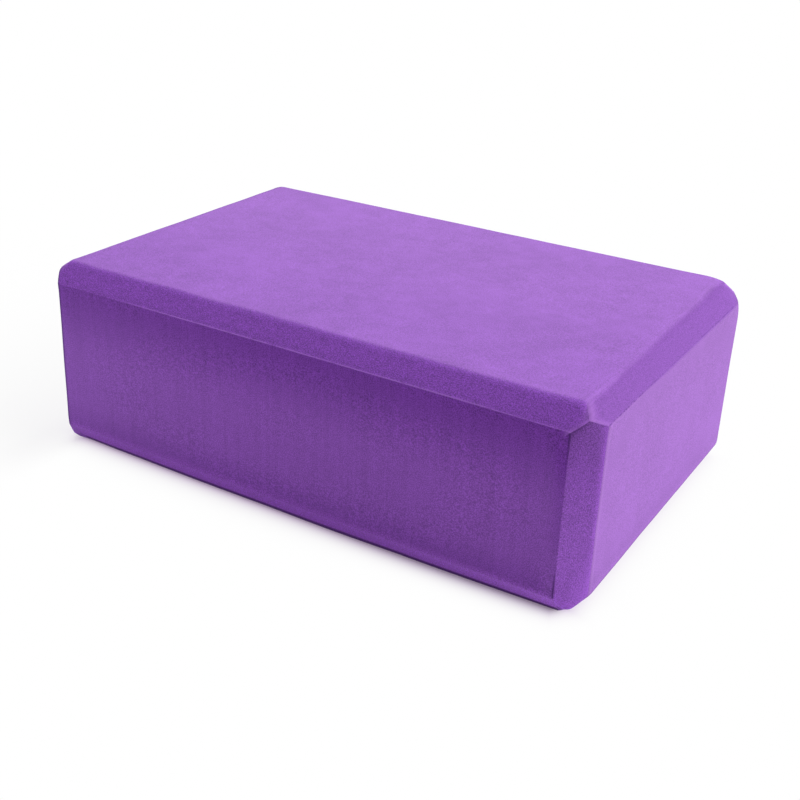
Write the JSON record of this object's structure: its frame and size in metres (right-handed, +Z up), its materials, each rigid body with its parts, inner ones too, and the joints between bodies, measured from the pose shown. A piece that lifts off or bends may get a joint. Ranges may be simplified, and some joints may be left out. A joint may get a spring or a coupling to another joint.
{
  "type": "yoga block",
  "caption": "Brick-shaped foam yoga block with bevelled edges, a firm free-standing prop that rests on any of its flat faces.",
  "frame": {"origin": "middle of the bottom face, on the surface that the block lies on", "axes": "+X along the long sides, +Y from the near long side to the far one, +Z up through the block's height"},
  "size_m": [0.2286, 0.1524, 0.0762],
  "materials": {
    "foam": "matte closed-cell EVA foam, suede-like on top, fine cut grain on the bevels and sides"
  },
  "bodies": {
    "root": {"foam_block": "foam"}
  },
  "joints": []
}
